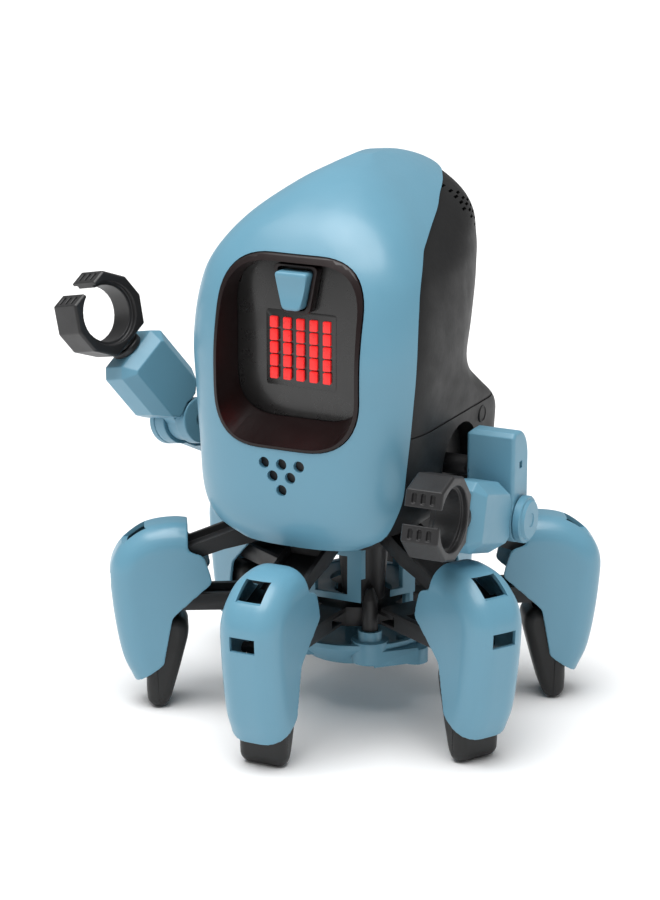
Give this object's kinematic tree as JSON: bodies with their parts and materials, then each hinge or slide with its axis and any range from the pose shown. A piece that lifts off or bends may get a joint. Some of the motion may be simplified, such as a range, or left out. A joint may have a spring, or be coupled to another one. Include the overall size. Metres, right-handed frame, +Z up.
{
  "type": "educational coding robot",
  "caption": "Toy walking robot: hooded head with a recessed lit display, two posable arms with C-shaped grippers, and shelled legs on a crank-driven frame.",
  "frame": {"origin": "floor point under the middle of the bounding box", "axes": "+Z up, the face looks along -Y, +X is the robot's own left side"},
  "size_m": [0.2192, 0.2232, 0.251],
  "materials": {
    "blue_shell": "satin light blue moulded plastic",
    "blue_part": "satin light blue moulded plastic",
    "black_shell": "fine matt black moulded plastic",
    "black_part": "matt black moulded plastic",
    "visor_black": "glossy dark brown-black plastic",
    "display_black": "smooth dark display front",
    "led_red": "lit red indicator tiles on a dark carrier",
    "grey_switch": "light grey plastic",
    "board_green": "green circuit board with dark components",
    "steel": "drawn steel can"
  },
  "bodies": {
    "body": {"front_shell": "blue_shell", "rear_shell": "black_shell", "rear_housing": "black_shell", "visor_tub": "visor_black", "display_panel": "display_black", "led_matrix": "led_red", "speaker": "black_part", "control_board": "board_green", "battery_box": "black_part", "battery_cell_1": "steel", "battery_cell_2": "steel", "battery_cell_3": "steel", "battery_cell_4": "steel", "hub": "black_part", "gearbox_frame": "blue_part", "walking_plate": "black_part", "base_disc": "blue_part", "guide_pin": "black_part", "drive_motor": "steel", "upper_link_1": "black_part", "upper_link_2": "black_part", "upper_link_3": "black_part", "upper_link_4": "black_part", "upper_link_5": "black_part", "upper_link_6": "black_part"},
    "key": {"face_key": "blue_part"},
    "switch": {"power_switch": "grey_switch"},
    "door": {"battery_door": "black_shell"},
    "crank": {"crank": "black_part"},
    "pinion": {"motor_pinion": "black_part"},
    "leg_1": {"leg_shell_1": "blue_shell", "foot_1": "black_part"},
    "link_1": {"lower_link_1": "black_part"},
    "leg_2": {"leg_shell_2": "blue_shell", "foot_2": "black_part"},
    "link_2": {"lower_link_2": "black_part"},
    "leg_3": {"leg_shell_3": "blue_shell", "foot_3": "black_part"},
    "link_3": {"lower_link_3": "black_part"},
    "leg_4": {"leg_shell_4": "blue_shell", "foot_4": "black_part"},
    "link_4": {"lower_link_4": "black_part"},
    "leg_5": {"leg_shell_5": "blue_shell", "foot_5": "black_part"},
    "link_5": {"lower_link_5": "black_part"},
    "leg_6": {"leg_shell_6": "blue_shell", "foot_6": "black_part"},
    "link_6": {"lower_link_6": "black_part"},
    "shoulder_right": {"shoulder_joint_right": "black_part"},
    "upper_arm_right": {"upper_arm_right": "blue_part", "elbow_pin_right": "blue_part"},
    "forearm_right": {"forearm_right": "blue_part"},
    "hand_right": {"wrist_collar_right": "black_part", "gripper_right": "black_part"},
    "shoulder_left": {"shoulder_joint_left": "black_part"},
    "upper_arm_left": {"upper_arm_left": "blue_part", "elbow_pin_left": "blue_part"},
    "forearm_left": {"forearm_left": "blue_part"},
    "hand_left": {"wrist_collar_left": "black_part", "gripper_left": "black_part"}
  },
  "joints": [
    {"name": "face_key_press", "type": "slide", "parent": "body", "child": "key", "axis": [0, 1, 0], "range_m": [0, 0.001], "stiffness_N_per_m": 400},
    {"name": "power_switch_slide", "type": "slide", "parent": "body", "child": "switch", "axis": [0, 0, 1], "range_m": [0, 0.0035]},
    {"name": "battery_door_slide", "type": "slide", "parent": "body", "child": "door", "axis": [0, 1, 0], "range_m": [0, 0.02]},
    {"name": "crank_spin", "type": "hinge", "parent": "body", "child": "crank", "pos_m": [0.00982, 0, 0.1], "axis": [0, 0, 1], "continuous": true},
    {"name": "pinion_spin", "type": "hinge", "parent": "body", "child": "pinion", "pos_m": [0.00982, -0.0215, 0.1], "axis": [0, 0, 1], "continuous": true},
    {"name": "leg_tilt_1", "type": "hinge", "parent": "body", "child": "leg_1", "pos_m": [0.00982, -0.088, 0.069], "axis": [1, 0, 0], "range_deg": [-6, 6]},
    {"name": "link_pivot_1", "type": "hinge", "parent": "leg_1", "child": "link_1", "pos_m": [0.00982, -0.086, 0.05], "axis": [1, 0, 0], "range_deg": [-6, 6]},
    {"name": "leg_tilt_2", "type": "hinge", "parent": "body", "child": "leg_2", "pos_m": [0.08603, -0.044, 0.069], "axis": [0.5, 0.866, 0], "range_deg": [-6, 6]},
    {"name": "link_pivot_2", "type": "hinge", "parent": "leg_2", "child": "link_2", "pos_m": [0.0843, -0.043, 0.05], "axis": [0.5, 0.866, 0], "range_deg": [-6, 6]},
    {"name": "leg_tilt_3", "type": "hinge", "parent": "body", "child": "leg_3", "pos_m": [0.08603, 0.044, 0.069], "axis": [-0.5, 0.866, 0], "range_deg": [-6, 6]},
    {"name": "link_pivot_3", "type": "hinge", "parent": "leg_3", "child": "link_3", "pos_m": [0.0843, 0.043, 0.05], "axis": [-0.5, 0.866, 0], "range_deg": [-6, 6]},
    {"name": "leg_tilt_4", "type": "hinge", "parent": "body", "child": "leg_4", "pos_m": [0.00982, 0.088, 0.069], "axis": [-1, 0, 0], "range_deg": [-6, 6]},
    {"name": "link_pivot_4", "type": "hinge", "parent": "leg_4", "child": "link_4", "pos_m": [0.00982, 0.086, 0.05], "axis": [-1, 0, 0], "range_deg": [-6, 6]},
    {"name": "leg_tilt_5", "type": "hinge", "parent": "body", "child": "leg_5", "pos_m": [-0.06639, 0.044, 0.069], "axis": [-0.5, -0.866, 0], "range_deg": [-6, 6]},
    {"name": "link_pivot_5", "type": "hinge", "parent": "leg_5", "child": "link_5", "pos_m": [-0.06466, 0.043, 0.05], "axis": [-0.5, -0.866, 0], "range_deg": [-6, 6]},
    {"name": "leg_tilt_6", "type": "hinge", "parent": "body", "child": "leg_6", "pos_m": [-0.06639, -0.044, 0.069], "axis": [0.5, -0.866, 0], "range_deg": [-6, 6]},
    {"name": "link_pivot_6", "type": "hinge", "parent": "leg_6", "child": "link_6", "pos_m": [-0.06466, -0.043, 0.05], "axis": [0.5, -0.866, 0], "range_deg": [-6, 6]},
    {"name": "shoulder_swing_right", "type": "hinge", "parent": "body", "child": "shoulder_right", "pos_m": [0.07132, -0.002, 0.118], "axis": [-1, 0, 0], "range_deg": [-4, 100]},
    {"name": "shoulder_raise_right", "type": "hinge", "parent": "shoulder_right", "child": "upper_arm_right", "pos_m": [0.07132, -0.002, 0.118], "axis": [0, -1, 0], "range_deg": [-1, 30]},
    {"name": "elbow_right", "type": "hinge", "parent": "upper_arm_right", "child": "forearm_right", "pos_m": [0.07132, -0.002, 0.097], "axis": [1, 0, 0], "range_deg": [-5, 6]},
    {"name": "wrist_roll_right", "type": "hinge", "parent": "forearm_right", "child": "hand_right", "pos_m": [0.07907, -0.04643, 0.10891], "axis": [0, -0.9659, 0.2588], "range_deg": [-90, 90]},
    {"name": "shoulder_swing_left", "type": "hinge", "parent": "body", "child": "shoulder_left", "pos_m": [-0.05168, -0.002, 0.118], "axis": [-1, 0, 0], "range_deg": [-55, 40]},
    {"name": "shoulder_raise_left", "type": "hinge", "parent": "shoulder_left", "child": "upper_arm_left", "pos_m": [-0.05168, -0.002, 0.118], "axis": [0, 0.5, 0.866], "range_deg": [-20, 25]},
    {"name": "elbow_left", "type": "hinge", "parent": "upper_arm_left", "child": "forearm_left", "pos_m": [-0.06079, -0.01839, 0.12746], "axis": [-0.9011, 0.3756, -0.2168], "range_deg": [-26, 70]},
    {"name": "wrist_roll_left", "type": "hinge", "parent": "forearm_left", "child": "hand_left", "pos_m": [-0.08561, -0.03728, 0.16215], "axis": [-0.3878, -0.4739, 0.7906], "range_deg": [-90, 90]}
  ],
  "couplings": [
    {"joint": "pinion_spin", "follows": "crank_spin", "ratio": -2.5},
    {"joint": "link_pivot_1", "follows": "leg_tilt_1", "ratio": -1},
    {"joint": "link_pivot_2", "follows": "leg_tilt_2", "ratio": -1},
    {"joint": "link_pivot_3", "follows": "leg_tilt_3", "ratio": -1},
    {"joint": "leg_tilt_4", "follows": "leg_tilt_1", "ratio": -1},
    {"joint": "link_pivot_4", "follows": "leg_tilt_1", "ratio": 1},
    {"joint": "leg_tilt_5", "follows": "leg_tilt_2", "ratio": -1},
    {"joint": "link_pivot_5", "follows": "leg_tilt_2", "ratio": 1},
    {"joint": "leg_tilt_6", "follows": "leg_tilt_3", "ratio": -1},
    {"joint": "link_pivot_6", "follows": "leg_tilt_3", "ratio": 1}
  ]
}
